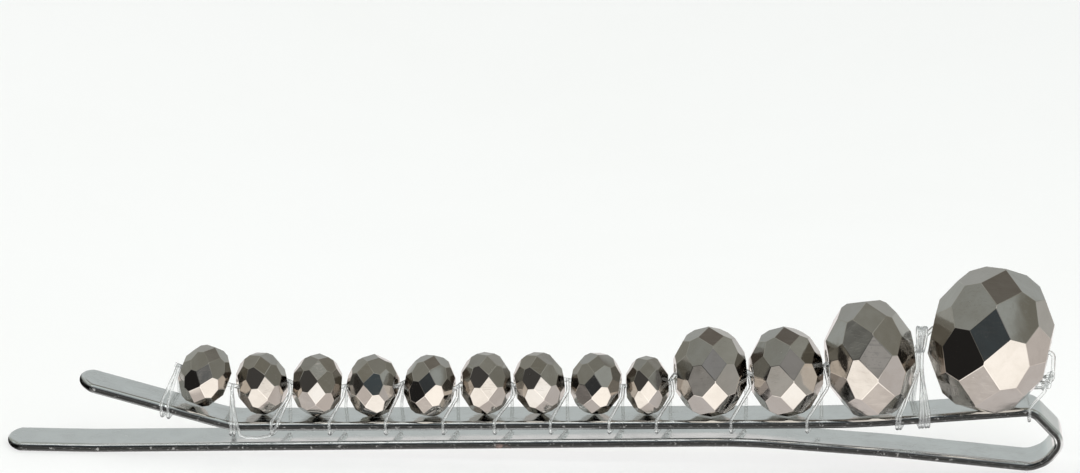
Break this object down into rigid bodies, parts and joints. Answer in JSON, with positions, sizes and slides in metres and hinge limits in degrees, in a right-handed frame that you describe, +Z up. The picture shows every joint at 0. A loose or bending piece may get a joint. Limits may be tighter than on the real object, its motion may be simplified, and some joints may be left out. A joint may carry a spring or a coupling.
{
  "type": "hair slide",
  "caption": "Long narrow hair slide bent from one spring strip, with a row of faceted metal-coated glass rondelles bound along its upper leg with clear thread.",
  "frame": {"origin": "middle of the whole slide's length and width, on the surface it rests on: the strip's own middle line is 0.93 mm behind it, at Y 0.93 mm, as the large beads stand towards the front", "axes": "+X along the slide from its open end towards the loop, +Z up from the lower leg to the beads, +Y towards the back"},
  "size_m": [0.0732, 0.0104, 0.0148],
  "materials": {
    "clip_steel": "polished, with fine scratches",
    "coated_glass": "opaque metallic mirror coat on cut glass",
    "clear_thread": "clear, smooth"
  },
  "bodies": {
    "root": {"spring_strip": "clip_steel", "bead_01": "coated_glass", "bead_02": "coated_glass", "bead_03": "coated_glass", "bead_04": "coated_glass", "bead_05": "coated_glass", "bead_06": "coated_glass", "bead_07": "coated_glass", "bead_08": "coated_glass", "bead_09": "coated_glass", "bead_10": "coated_glass", "bead_11": "coated_glass", "bead_12": "coated_glass", "bead_13": "coated_glass", "binding_thread": "clear_thread"}
  },
  "joints": []
}
